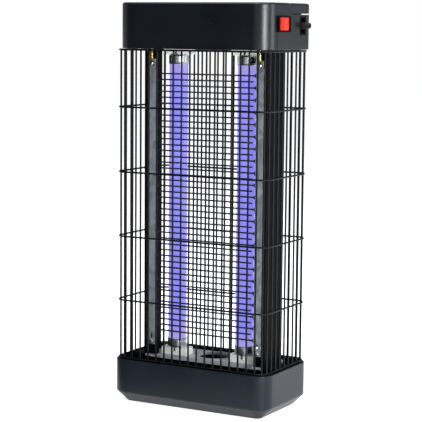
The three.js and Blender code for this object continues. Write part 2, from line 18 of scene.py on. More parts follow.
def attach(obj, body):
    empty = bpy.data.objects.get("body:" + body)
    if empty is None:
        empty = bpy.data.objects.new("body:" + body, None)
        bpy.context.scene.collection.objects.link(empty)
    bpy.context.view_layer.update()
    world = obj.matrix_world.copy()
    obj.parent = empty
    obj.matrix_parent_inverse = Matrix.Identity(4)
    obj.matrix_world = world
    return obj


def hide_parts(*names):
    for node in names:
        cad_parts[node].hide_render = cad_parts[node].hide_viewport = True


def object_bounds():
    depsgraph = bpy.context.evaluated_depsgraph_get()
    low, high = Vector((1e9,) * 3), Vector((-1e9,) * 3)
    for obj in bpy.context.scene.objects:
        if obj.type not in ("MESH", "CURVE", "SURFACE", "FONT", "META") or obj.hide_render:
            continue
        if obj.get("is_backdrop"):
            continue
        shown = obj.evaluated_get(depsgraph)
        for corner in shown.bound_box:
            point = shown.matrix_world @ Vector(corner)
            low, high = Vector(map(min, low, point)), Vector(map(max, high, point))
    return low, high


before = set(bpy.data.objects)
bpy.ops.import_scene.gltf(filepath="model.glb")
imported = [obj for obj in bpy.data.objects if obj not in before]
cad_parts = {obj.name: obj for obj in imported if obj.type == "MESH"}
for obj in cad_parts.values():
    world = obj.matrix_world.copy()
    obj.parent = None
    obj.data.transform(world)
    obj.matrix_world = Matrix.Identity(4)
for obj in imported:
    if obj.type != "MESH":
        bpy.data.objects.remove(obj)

LOG = logging.getLogger("bug_zapper")
MM = 0.001
SHARP_DEGREES = 32.0    # edges bent more than this stay sharp
CORNER_STEPS = 12       # segments in each corner of a rounded plan
PAST = 100.0            # millimetres, well outside the zapper along X


class Side(Enum):
    """The two sides of the zapper, and the way each lies along X."""

    LEFT = -1
    RIGHT = 1

    @property
    def word(self) -> str:
        """The side's name as node names spell it."""
        return self.name.lower()


class Grain(Enum):
    """How a metal's fine marks are stretched, as a scale along X, Y and Z."""

    ALONG_Z = (220.0, 220.0, 6.0)
    EVEN = (160.0, 160.0, 160.0)


# ------------------------------------------------------------------ colour and shader nodes
def srgb(code: str) -> tuple[float, float, float, float]:
    """Turns an sRGB hex code into a linear colour.

    Args:
        code: Six hex digits, with or without a leading #.

    Returns:
        Linear red, green, blue and an alpha of 1.
    """
    digits = code.lstrip("#")
    values = [int(digits[i:i + 2], 16) / 255 for i in (0, 2, 4)]
    linear = [v / 12.92 if v <= 0.04045 else ((v + 0.055) / 1.055) ** 2.4 for v in values]
    return (*linear, 1.0)


def add_node(tree: bpy.types.NodeTree, kind: str, inputs: dict | None = None, **settings) -> bpy.types.Node:
    """Adds one node, sets it up and links it.

    Args:
        tree: The shader or geometry tree.
        kind: The node's type name.
        inputs: Socket name or index to a constant, or to the output socket that feeds it.
        **settings: The node's own properties.

    Returns:
        The new node.
    """
    made = tree.nodes.new(kind)
    for name, value in settings.items():
        setattr(made, name, value)
    for key, value in (inputs or {}).items():
        if isinstance(value, bpy.types.NodeSocket):
            tree.links.new(value, made.inputs[key])
        else:
            made.inputs[key].default_value = value
    return made


def ramp(tree: bpy.types.NodeTree, factor: bpy.types.NodeSocket, stops: Sequence[tuple[float, tuple]]):
    """Adds a colour ramp.

    Args:
        tree: The shader tree.
        factor: The socket that drives it.
        stops: Position and colour of each stop, in order.

    Returns:
        The ramp's colour output.
    """
    made = add_node(tree, "ShaderNodeValToRGB", {"Fac": factor})
    made.color_ramp.elements[0].position, made.color_ramp.elements[0].color = stops[0]
    made.color_ramp.elements[1].position, made.color_ramp.elements[1].color = stops[-1]
    for position, colour in stops[1:-1]:
        made.color_ramp.elements.new(position).color = colour
    return made.outputs["Color"]


def shade(colour: tuple, factor: float) -> tuple[float, float, float, float]:
    """A linear colour made lighter or darker by a factor."""
    return (*(min(1.0, channel * factor) for channel in colour[:3]), 1.0)


# ------------------------------------------------------------------ finishes
@dataclass(frozen=True)
class Finish(ABC):
    """A real surface finish, which builds its material once and hands it out after that."""

    name: str
    slot: str
    colour: str
    roughness: float

    def material(self) -> bpy.types.Material:
        """The finish's material, built the first time it is asked for."""
        known = bpy.data.materials.get(self.name)
        if known:
            return known
        made = bpy.data.materials.new(self.name)
        made.use_nodes = True
        tree = made.node_tree
        tree.nodes.clear()
        place = add_node(tree, "ShaderNodeTexCoord").outputs["Object"]
        surface = add_node(tree, "ShaderNodeBsdfPrincipled", {"Roughness": self.roughness})
        self.paint(tree, surface, place)
        add_node(tree, "ShaderNodeOutputMaterial", {"Surface": surface.outputs["BSDF"]})
        return made

    @abstractmethod
    def paint(self, tree, surface, place) -> None:
        """Feeds the surface shader.

        Args:
            tree: The shader tree.
            surface: The Principled shader.
            place: Object coordinates, in metres.
        """

    def noise(self, tree, place, per_metre: float) -> bpy.types.NodeSocket:
        """A soft noise of so many cells a metre."""
        made = add_node(tree, "ShaderNodeTexNoise", {"Vector": place, "Scale": per_metre, "Detail": 3.0})
        return made.outputs["Fac"]

    def spread(self, tree, factor, low: float, high: float) -> bpy.types.NodeSocket:
        """Maps a 0 to 1 noise onto low to high."""
        made = add_node(tree, "ShaderNodeMapRange", {
            "Value": factor, "From Min": 0.3, "From Max": 0.7, "To Min": low, "To Max": high})
        return made.outputs["Result"]

    def roughen(self, tree, surface, factor, smoother: float, rougher: float) -> None:
        """Varies the roughness round the finish's own value."""
        result = self.spread(tree, factor, self.roughness - smoother, self.roughness + rougher)
        tree.links.new(result, surface.inputs["Roughness"])

    def bump(self, tree, surface, height, depth_mm: float, strength: float = 0.5) -> None:
        """Gives the surface the relief of a height map, with the given real depth."""
        made = add_node(tree, "ShaderNodeBump", {
            "Height": height, "Distance": depth_mm * MM, "Strength": strength})
        tree.links.new(made.outputs["Normal"], surface.inputs["Normal"])


@dataclass(frozen=True)
class MouldedPlastic(Finish):
    """Injection-moulded plastic: a spark-eroded grain, faint mottling and a little settled dust."""

    grain_mm: float = 0.5
    grain_depth_mm: float = 0.02
    dust: float = 0.02
    ior: float = 1.46
    sheen: float = 0.5

    def paint(self, tree, surface, place) -> None:
        base = srgb(self.colour)
        cloud = self.noise(tree, place, 28.0)
        colour = ramp(tree, cloud, [(0.3, shade(base, 0.85)), (0.7, shade(base, 1.15))])
        facing = add_node(tree, "ShaderNodeNewGeometry").outputs["Normal"]
        up = add_node(tree, "ShaderNodeSeparateXYZ", {"Vector": facing}).outputs["Z"]
        settled = add_node(tree, "ShaderNodeMapRange", {
            "Value": up, "From Min": 0.6, "From Max": 1.0,
            "To Min": 0.0, "To Max": self.dust}).outputs["Result"]
        grit = self.noise(tree, place, 900.0)
        speck = add_node(tree, "ShaderNodeMath", {0: settled, 1: grit}, operation="MULTIPLY")
        mix = add_node(tree, "ShaderNodeMix", {
            "Factor": speck.outputs[0], "A": colour, "B": srgb("#b9b6ae")}, data_type="RGBA")
        tree.links.new(mix.outputs["Result"], surface.inputs["Base Color"])
        self.roughen(tree, surface, cloud, 0.03, 0.04)
        surface.inputs["IOR"].default_value = self.ior
        surface.inputs["Specular IOR Level"].default_value = self.sheen
        self.bump(tree, surface, self.noise(tree, place, 1000.0 / self.grain_mm), self.grain_depth_mm, 0.35)


@dataclass(frozen=True)
class PowderCoat(Finish):
    """Powder paint on wire or sheet, with its slight orange peel."""

    peel_mm: float = 1.2
    sheen: float = 0.5

    def paint(self, tree, surface, place) -> None:
        base = srgb(self.colour)
        cloud = self.noise(tree, place, 1000.0 / self.peel_mm)
        colour = ramp(tree, cloud, [(0.3, shade(base, 0.9)), (0.7, shade(base, 1.12))])
        tree.links.new(colour, surface.inputs["Base Color"])
        self.roughen(tree, surface, cloud, 0.04, 0.06)
        surface.inputs["IOR"].default_value = 1.5
        surface.inputs["Specular IOR Level"].default_value = self.sheen
        self.bump(tree, surface, cloud, 0.03, 0.4)


@dataclass(frozen=True)
class GalvanisedSheet(Finish):
    """Zinc-coated sheet: dull crystals of slightly different grey, and faint rolling lines."""

    crystal_mm: float = 4.0
    metal: float = 1.0

    def paint(self, tree, surface, place) -> None:
        base = srgb(self.colour)
        crystals = add_node(tree, "ShaderNodeTexVoronoi", {
            "Vector": place, "Scale": 1000.0 / self.crystal_mm}).outputs["Color"]
        shade_of = add_node(tree, "ShaderNodeSeparateColor", {"Color": crystals}).outputs["Red"]
        colour = ramp(tree, shade_of, [(0.0, shade(base, 0.78)), (1.0, shade(base, 1.15))])
        tree.links.new(colour, surface.inputs["Base Color"])
        self.roughen(tree, surface, shade_of, 0.06, 0.1)
        surface.inputs["Metallic"].default_value = self.metal
        stretched = add_node(tree, "ShaderNodeMapping", {"Vector": place, "Scale": Grain.ALONG_Z.value})
        self.bump(tree, surface, self.noise(tree, stretched.outputs["Vector"], 12.0), 0.01, 0.3)


@dataclass(frozen=True)
class BareMetal(Finish):
    """Bare or plated metal with faint handling marks and a trace of tarnish."""

    tarnish: str = "#6b6660"

    def paint(self, tree, surface, place) -> None:
        base = srgb(self.colour)
        stain = self.noise(tree, place, 60.0)
        colour = ramp(tree, stain, [(0.35, srgb(self.tarnish)), (0.5, shade(base, 0.92)), (0.75, base)])
        tree.links.new(colour, surface.inputs["Base Color"])
        stretched = add_node(tree, "ShaderNodeMapping", {"Vector": place, "Scale": Grain.EVEN.value})
        lines = self.noise(tree, stretched.outputs["Vector"], 14.0)
        self.roughen(tree, surface, lines, 0.05, 0.08)
        surface.inputs["Metallic"].default_value = 1.0
        self.bump(tree, surface, lines, 0.004, 0.12)


@dataclass(frozen=True)
class LampGlow(Finish):
    """A lit phosphor-coated tube: violet blue, paler and weaker close to the filaments at its ends."""

    end_colour: str = "#b9a8ee"
    bottom_mm: float = 54.0
    top_mm: float = 338.0
    end_mm: float = 26.0
    strength: float = 1.0

    def paint(self, tree, surface, place) -> None:
        height = add_node(tree, "ShaderNodeSeparateXYZ", {"Vector": place}).outputs["Z"]
        middle = (self.bottom_mm + self.top_mm) / 2 * MM
        half = (self.top_mm - self.bottom_mm) / 2 * MM
        off = add_node(tree, "ShaderNodeMath", {0: height, 1: middle}, operation="SUBTRACT").outputs[0]
        away = add_node(tree, "ShaderNodeMath", {0: off}, operation="ABSOLUTE").outputs[0]
        endness = add_node(tree, "ShaderNodeMapRange", {
            "Value": away, "From Min": half - self.end_mm * MM, "From Max": half,
            "To Min": 0.0, "To Max": 1.0}, interpolation_type="SMOOTHSTEP").outputs["Result"]
        body = srgb(self.colour)
        cloud = self.noise(tree, place, 60.0)
        coat = ramp(tree, cloud, [(0.3, shade(body, 0.94)), (0.7, shade(body, 1.05))])
        glow = add_node(tree, "ShaderNodeMix", {
            "Factor": endness, "A": coat, "B": srgb(self.end_colour)}, data_type="RGBA").outputs["Result"]
        power = add_node(tree, "ShaderNodeMapRange", {
            "Value": endness, "From Min": 0.0, "From Max": 1.0,
            "To Min": self.strength, "To Max": self.strength * 0.75}).outputs["Result"]
        tree.links.new(glow, surface.inputs["Emission Color"])
        tree.links.new(power, surface.inputs["Emission Strength"])
        surface.inputs["Base Color"].default_value = srgb("#3a3a60")
        surface.inputs["IOR"].default_value = 1.5


@dataclass(frozen=True)
class PrintedBoard(Finish):
    """Solder-resist with rows of tinned pads."""

    def paint(self, tree, surface, place) -> None:
        base = srgb(self.colour)
        dots = add_node(tree, "ShaderNodeTexVoronoi", {"Vector": place, "Scale": 260.0, "Randomness": 0.15})
        pads = ramp(tree, dots.outputs["Distance"], [(0.16, srgb("#c9c4b4")), (0.2, base)])
        tree.links.new(pads, surface.inputs["Base Color"])
        cloud = self.noise(tree, place, 90.0)
        tree.links.new(self.spread(tree, cloud, 0.3, 0.45), surface.inputs["Roughness"])


@dataclass(frozen=True)
class Laminations(Finish):
    """Stacked, varnished iron sheets, seen as fine level lines."""

    sheet_mm: float = 0.5

    def paint(self, tree, surface, place) -> None:
        base = srgb(self.colour)
        bands = add_node(tree, "ShaderNodeTexWave", {
            "Vector": place, "Scale": 500.0 / self.sheet_mm / math.tau,
            "Distortion": 0.6}, bands_direction="Z")
        colour = ramp(tree, bands.outputs["Fac"], [(0.2, shade(base, 0.6)), (0.8, shade(base, 1.3))])
        tree.links.new(colour, surface.inputs["Base Color"])
        surface.inputs["Metallic"].default_value = 0.6
        self.bump(tree, surface, bands.outputs["Fac"], 0.05, 0.4)


@dataclass(frozen=True)
class StudioFloor(Finish):
    """Matt white studio floor with the faintest mottling."""

    def paint(self, tree, surface, place) -> None:
        base = srgb(self.colour)
        cloud = self.noise(tree, place, 2.0)
        colour = ramp(tree, cloud, [(0.3, shade(base, 0.995)), (0.7, base)])
        tree.links.new(colour, surface.inputs["Base Color"])


# Semi-gloss black ABS of the head, handle and tray.
BLACK_ABS = MouldedPlastic("black_abs", "black_plastic", "#0b0e14", 0.3)
# The same plastic low down on the tray, as a lighter, bluer copy whose tint is a painted reflection of cool
# light, with less sheen.
TRAY_ABS_PAINTED_COOL_TINT = MouldedPlastic("black_abs_tray", "black_plastic", "#10161f", 0.34, sheen=0.22)
# Matt black nylon of the posts and insulators.
BLACK_NYLON = MouldedPlastic("black_nylon", "post_plastic", "#050608", 0.6, grain_mm=0.8, sheen=0.06)
# Black powder coat on the guard's steel wire.
WIRE_COAT = PowderCoat("black_powder_coat", "black_wire", "#030405", 0.4, sheen=0.16)
# Galvanised steel of the bus strips, dulled by a thin film of zinc oxide.
ZINC_SHEET = GalvanisedSheet("galvanised_steel", "galvanised", "#a9b1b6", 0.55, metal=0.8)
# The combs' thinner steel, in a darker grey than the strips.
COMB_STEEL = GalvanisedSheet("darkened_steel", "galvanised", "#4c5156", 0.5)
# Zinc-plated steel screws and pins.
ZINC_PLATE = BareMetal("zinc_plated_steel", "steel", "#c4c6c9", 0.3)
# Brass of the terminal lugs.
BRASS = BareMetal("brass", "brass", "#c29a52", 0.32, tarnish="#5e4a2a")
# Spun aluminium of the lamp caps.
SPUN_CAP = BareMetal("spun_aluminium", "lamp_cap", "#dfe2e8", 0.28, tarnish="#cdd0d8")
# Lit ultraviolet phosphor tube.
LIT_TUBE = LampGlow("lit_phosphor_tube", "lamp_glass", "#8683ee", 0.12)
# Cream heat-resistant thermoplastic of the lampholders.
CREAM_PBT = MouldedPlastic("cream_pbt", "cream_plastic", "#f2f0ea", 0.42, dust=0.0)
# Light grey satin paint of the deck.
DECK_PAINT = PowderCoat("light_grey_paint", "deck_paint", "#a9acb2", 0.4, peel_mm=1.6)
# Bright red polycarbonate of the rocker.
RED_PC = MouldedPlastic("red_polycarbonate", "red_rocker", "#f52a1c", 0.22,
                        grain_depth_mm=0.004, dust=0.0, ior=1.58)
# Glass-fibre circuit board.
GREEN_BOARD = PrintedBoard("circuit_board_fr4", "board", "#1d5a2c", 0.4)
# Varnished iron laminations of the ballasts.
IRON_STACK = Laminations("iron_laminations", "iron_core", "#6d6259", 0.5)
# Yellow polyester tape round the transformer.
YELLOW_TAPE = MouldedPlastic("yellow_polyester_tape", "yellow_tape", "#d9b02c", 0.4, dust=0.0)
# Blue PVC shrink sleeve of the capacitors.
BLUE_SLEEVE = MouldedPlastic("blue_pvc_sleeve", "capacitor_sleeve", "#22386b", 0.3, dust=0.0)
# Black rubber of the cord gland.
GLAND_RUBBER = MouldedPlastic("black_rubber", "rubber", "#0a0a0b", 0.65, grain_mm=0.3)
# Matt white studio floor.
STUDIO_WHITE = StudioFloor("studio_white", "", "#fbfbfb", 0.8)


# ------------------------------------------------------------------ mesh making
Outline = Sequence[tuple[float, float]]


@dataclass(frozen=True)
class RoundedPlan:
    """A rounded rectangle seen from above, in millimetres."""

    half_width: float
    front: float
    rear: float
    corner: float

    def loop(self, inset: float) -> list[tuple[float, float]]:
        """Points round the plan, moved inwards by inset.

        Args:
            inset: How far inside the plan the loop lies.

        Returns:
            The same number of points for every inset, anticlockwise from above.
        """
        radius = max(self.corner - inset, 0.4)
        x = self.half_width - inset - radius
        low, high = self.front + inset + radius, self.rear - inset - radius
        centres = [((x, low), -90), ((x, high), 0), ((-x, high), 90), ((-x, low), 180)]
        return [
            (cx + radius * math.cos(math.radians(start + 90 * i / CORNER_STEPS)),
             cy + radius * math.sin(math.radians(start + 90 * i / CORNER_STEPS)))
            for (cx, cy), start in centres for i in range(CORNER_STEPS + 1)
        ]


def mesh_object(name: str, build: Callable[[bmesh.types.BMesh], None]) -> bpy.types.Object:
    """Makes a mesh object from a function that fills a bmesh.

    Args:
        name: The object's name.
        build: Fills the bmesh, in metres.

    Returns:
        The object, linked to the scene.
    """
    work = bmesh.new()
    build(work)
    bmesh.ops.remove_doubles(work, verts=work.verts, dist=1e-7)
    bmesh.ops.recalc_face_normals(work, faces=work.faces)
    data = bpy.data.meshes.new(name)
    work.to_mesh(data)
    work.free()
    smooth(data)
    made = bpy.data.objects.new(name, data)
    bpy.context.scene.collection.objects.link(made)
    return made


def smooth(data: bpy.types.Mesh) -> None:
    """Shades a mesh smooth, apart from its sharp edges."""
    data.shade_smooth()
    data.set_sharp_from_angle(angle=math.radians(SHARP_DEGREES))


def lofted(name: str, plan: RoundedPlan, levels: Sequence[tuple[float, float]]) -> bpy.types.Object:
    """A closed body whose section is the plan at each level.

    Args:
        name: The object's name.
        plan: The outline seen from above.
        levels: Inset and height of each section, in millimetres, following the skin.

    Returns:
        The object.
    """
    def build(work: bmesh.types.BMesh) -> None:
        rings = [[work.verts.new((x * MM, y * MM, z * MM)) for x, y in plan.loop(inset)]
                 for inset, z in levels]
        for low, high in zip(rings, rings[1:]):
            for i, vertex in enumerate(low):
                j = (i + 1) % len(low)
                work.faces.new((vertex, low[j], high[j], high[i]))
        work.faces.new(rings[0])
        work.faces.new(rings[-1])
    return mesh_object(name, build)


def revolved(name: str, profile: Outline, centre: tuple[float, float],
             segments: int) -> bpy.types.Object:
    """A body turned about an upright axis.

    Args:
        name: The object's name.
        profile: Radius and height pairs in millimetres; it starts and ends on the axis, or closes.
        centre: The axis's X and Y in millimetres.
        segments: Facets round it.

    Returns:
        The object.
    """
    closed = profile[0] == profile[-1]

    def build(work: bmesh.types.BMesh) -> None:
        points = profile[:-1] if closed else profile
        verts = [work.verts.new((r * MM, 0, z * MM)) for r, z in points]
        pairs = list(zip(verts, verts[1:] + verts[:1])) if closed else list(zip(verts, verts[1:]))
        edges = [work.edges.new(pair) for pair in pairs]
        bmesh.ops.spin(work, geom=verts + edges, cent=(0, 0, 0), axis=(0, 0, 1), angle=math.tau,
                       steps=segments, use_merge=True)
        bmesh.ops.translate(work, vec=(centre[0] * MM, centre[1] * MM, 0), verts=work.verts)
    return mesh_object(name, build)


def slab(name: str, outline: Outline, low: float, high: float,
         to_place: Matrix = Matrix()) -> bpy.types.Object:
    """A flat plate of any outline.

    Args:
        name: The object's name.
        outline: The plate's outline in its own plane, in millimetres.
        low: Where its first face lies along its own third axis, in millimetres.
        high: Where its second face lies.
        to_place: Turns the plate's own axes into the frame's.

    Returns:
        The object.
    """
    def build(work: bmesh.types.BMesh) -> None:
        verts = [work.verts.new(to_place @ Vector((u * MM, v * MM, low * MM))) for u, v in outline]
        face = work.faces.new(verts)
        extruded = bmesh.ops.extrude_face_region(work, geom=[face])["geom"]
        moved = [part for part in extruded if isinstance(part, bmesh.types.BMVert)]
        along = to_place.to_3x3() @ Vector((0, 0, (high - low) * MM))
        bmesh.ops.translate(work, vec=along, verts=moved)
        if not face.is_valid:
            work.faces.new(list(reversed(verts)))
    return mesh_object(name, build)


def brick(name: str, low: Sequence[float], high: Sequence[float]) -> bpy.types.Object:
    """A block between two corners, in millimetres, used as a cutter or a base for softening."""
    outline = [(low[0], low[1]), (high[0], low[1]), (high[0], high[1]), (low[0], high[1])]
    return slab(name, outline, low[2], high[2])


def arc(centre: tuple[float, float], radius: float, start: float, end: float,
        steps: int) -> list[tuple[float, float]]:
    """Points on an arc, from start to end degrees."""
    angles = [math.radians(start + (end - start) * i / steps) for i in range(steps + 1)]
    return [(centre[0] + radius * math.cos(a), centre[1] + radius * math.sin(a)) for a in angles]


SIDE_VIEW = Matrix(((0, 0, 1, 0), (1, 0, 0, 0), (0, 1, 0, 0), (0, 0, 0, 1)))   # plate drawn in (Y, Z)
FRONT_VIEW = Matrix(((1, 0, 0, 0), (0, 0, -1, 0), (0, 1, 0, 0), (0, 0, 0, 1)))  # plate drawn in (X, Z)


def bake(obj: bpy.types.Object) -> None:
    """Turns an object's modifiers into plain mesh and leaves its shading alone."""
    bpy.context.view_layer.update()
    shaped = bpy.data.meshes.new_from_object(obj.evaluated_get(bpy.context.evaluated_depsgraph_get()))
    obj.modifiers.clear()
    obj.data = shaped


def weigh_normals(obj: bpy.types.Object) -> bpy.types.Modifier:
    """Adds the modifier that weights an object's normals with face area, so that flats look flat."""
    weigh = obj.modifiers.new("weighted_normals", "WEIGHTED_NORMAL")
    weigh.keep_sharp = True
    return weigh


def flatten_normals(obj: bpy.types.Object) -> None:
    """Shades an object's flats flat and its rounds round, for good."""
    weigh_normals(obj).weight = 90
    bake(obj)


def settle(obj: bpy.types.Object) -> bpy.types.Object:
    """Turns an object's modifiers into plain mesh, shaded smooth apart from its sharp edges."""
    bake(obj)
    smooth(obj.data)
    return obj


def carve(target: bpy.types.Object, tools: Iterable[bpy.types.Object],
          how: str = "DIFFERENCE") -> bpy.types.Object:
    """Cuts, joins or keeps in common, one tool after another, and removes the tools.

    Args:
        target: The body to work on.
        tools: The bodies to work with.
        how: DIFFERENCE, UNION or INTERSECT.

    Returns:
        The target.
    """
    for tool in tools:
        step = target.modifiers.new("carve", "BOOLEAN")
        step.operation, step.solver, step.object = how, "EXACT", tool
        settle(target)
        bpy.data.objects.remove(tool)
    return target


def soften(obj: bpy.types.Object, width_mm: float, segments: int = 2,
           angle: float = 40.0) -> bpy.types.Object:
    """Rounds an object's sharp edges, as tooling does."""
    bevel = obj.modifiers.new("soft_edges", "BEVEL")
    bevel.width, bevel.segments = width_mm * MM, segments
    bevel.limit_method, bevel.angle_limit = "ANGLE", math.radians(angle)
    return obj


def join(name: str, parts: Sequence[bpy.types.Object]) -> bpy.types.Object:
    """Joins several objects into one mesh, and drops the rest."""
    def build(work: bmesh.types.BMesh) -> None:
        for part in parts:
            work.from_mesh(part.data)
    made = mesh_object(name, build)
    for part in parts:
        bpy.data.objects.remove(part)
    return made


# ------------------------------------------------------------------ geometry nodes
class Pattern:
    """A geometry-nodes tree with named inputs, which ends in realized instances and one material."""

    def __init__(self, name: str) -> None:
        self.tree = bpy.data.node_groups.new(name, "GeometryNodeTree")
        self.tree.interface.new_socket("Geometry", in_out="OUTPUT", socket_type="NodeSocketGeometry")
        self.start = self.tree.nodes.new("NodeGroupInput")
        self.values: dict[str, object] = {}

    def take(self, label: str, kind: str, value: object) -> bpy.types.NodeSocket:
        """Adds a named input with its value.

        Args:
            label: The input's name.
            kind: Float, Int, Vector, Object or Material.
            value: What the modifier sets it to.

        Returns:
            The socket that carries it inside the tree.
        """
        item = self.tree.interface.new_socket(label, in_out="INPUT", socket_type=f"NodeSocket{kind}")
        self.values[item.identifier] = value
        return self.start.outputs[label]

    def add(self, kind: str, inputs: dict | None = None, **settings) -> bpy.types.Node:
        """Adds a geometry node."""
        return add_node(self.tree, f"GeometryNode{kind}", inputs, **settings)

    def math(self, operation: str, first, second) -> bpy.types.NodeSocket:
        """The result of one sum."""
        return add_node(self.tree, "ShaderNodeMath", {0: first, 1: second}, operation=operation).outputs[0]

    def vector(self, x, y, z) -> bpy.types.NodeSocket:
        """A vector from three numbers or sockets."""
        return add_node(self.tree, "ShaderNodeCombineXYZ", {"X": x, "Y": y, "Z": z}).outputs[0]

    def row(self, count, start, step) -> bpy.types.NodeSocket:
        """Points in a straight row."""
        return self.add("MeshLine", {"Count": count, "Start Location": start, "Offset": step}).outputs["Mesh"]

    def gather(self, meshes: Sequence[bpy.types.NodeSocket]) -> bpy.types.NodeSocket:
        """Several geometries as one."""
        node = self.tree.nodes.new("GeometryNodeJoinGeometry")
        for mesh in meshes:
            self.tree.links.new(mesh, node.inputs[0])
        return node.outputs[0]

    def copies(self, points, shape) -> bpy.types.NodeSocket:
        """The shape at each point."""
        return self.add("InstanceOnPoints", {"Points": points, "Instance": shape}).outputs["Instances"]

    def finish(self, geometry, finish: Finish, name: str) -> bpy.types.Object:
        """Closes the tree and makes the object it describes.

        Args:
            geometry: The last geometry socket.
            finish: The finish that the pattern takes.
            name: The object's name.

        Returns:
            A plain mesh object.
        """
        material = self.take("Material", "Material", finish.material())
        real = self.add("RealizeInstances", {"Geometry": geometry}).outputs["Geometry"]
        done = self.add("SetMaterial", {"Geometry": real, "Material": material}).outputs["Geometry"]
        end = self.tree.nodes.new("NodeGroupOutput")
        self.tree.links.new(done, end.inputs[0])
        holder = bpy.data.objects.new(name, bpy.data.meshes.new(name))
        bpy.context.scene.collection.objects.link(holder)
        modifier = holder.modifiers.new("pattern", "NODES")
        modifier.node_group = self.tree
        for identifier, value in self.values.items():
            modifier[identifier] = value
        return settle(holder)


# ------------------------------------------------------------------ sub-assemblies
@dataclass
class SubAssembly(ABC):
    """A group of pieces that is built together."""

    made: list[str] = field(default_factory=list, init=False)

    @abstractmethod
    def build(self) -> None:
        """Makes the group's pieces."""

    def show(self, obj: bpy.types.Object, finish: Finish, body: str, *nodes: str) -> None:
        """Gives a piece its finish and its place in the frame.

        Args:
            obj: The piece.
            finish: Its finish.
            body: The CAD body that carries it.
            *nodes: The CAD nodes it stands for.
        """
        obj.data.materials.clear()
        obj.data.materials.append(finish.material())
        flatten_normals(obj)
        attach(obj, body)
        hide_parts(*nodes)
        self.made.append(obj.name)

    def dress(self, node: str, finish: Finish, edge_mm: float = 0.0) -> None:
        """Keeps a CAD node as it is, and gives it a finish and softened edges."""
        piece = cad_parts[node]
        piece.data.materials.clear()
        piece.data.materials.append(finish.material())
        if edge_mm:
            soften(piece, edge_mm)
        weigh_normals(piece)
        self.made.append(node)


@dataclass
class InsectTray(SubAssembly):
    """The deep tray the tower stands in, with a ledge at each end for the posts' feet."""

    plan: RoundedPlan = RoundedPlan(85.5, -48.0, 48.0, 16.4)
    height: float = 43.0
    chamfer: float = 11.0
    wall: float = 2.4
    ledge: tuple[float, float] = (72.3, 84.3)
    ledge_top: float = 34.0
    ledge_half: float = 17.0

    def build(self) -> None:
        c, w, h = self.chamfer, self.wall, self.height
        levels = [
            (c + 0.9, 0.0), (c + 0.3, 0.12), (c - 0.2, 0.45),
            (0.9, c - 1.1), (0.35, c - 0.35), (0.08, c + 0.4), (0.0, c + 1.3),
            (0.0, h - 0.9), (0.12, h - 0.4), (0.4, h - 0.1), (0.9, h),
            (w - 0.5, h), (w - 0.1, h - 0.15), (w, h - 0.5),
            (w, c + 1.8), (w + 0.3, c + 0.9), (c + 0.6, w + 0.3), (c + 1.8, w),
        ]
        shell = lofted("insect_tray_shell", self.plan, levels)
        ledges = [self._ledge(side) for side in Side]
        # The tray takes the copy of the black plastic whose bluish tint is painted cool light.
        self.show(join("insect_tray_looks", [shell, *ledges]), TRAY_ABS_PAINTED_COOL_TINT, "tray", "insect_tray")

    def _ledge(self, side: Side) -> bpy.types.Object:
        """A ledge whose foot follows the middle of the chamfered wall, so that none of it shows outside."""
        (inner, outer), top = self.ledge, self.ledge_top
        outline = [(inner, 1.2), (inner + 1.3, 1.2), (outer, 11.9), (outer, top), (inner, top)]
        outline = [(side.value * x, z) for x, z in outline]
        block = slab(f"ledge_{side.word}", outline, -self.ledge_half, self.ledge_half, FRONT_VIEW)
        return settle(soften(block, 0.8, 3))


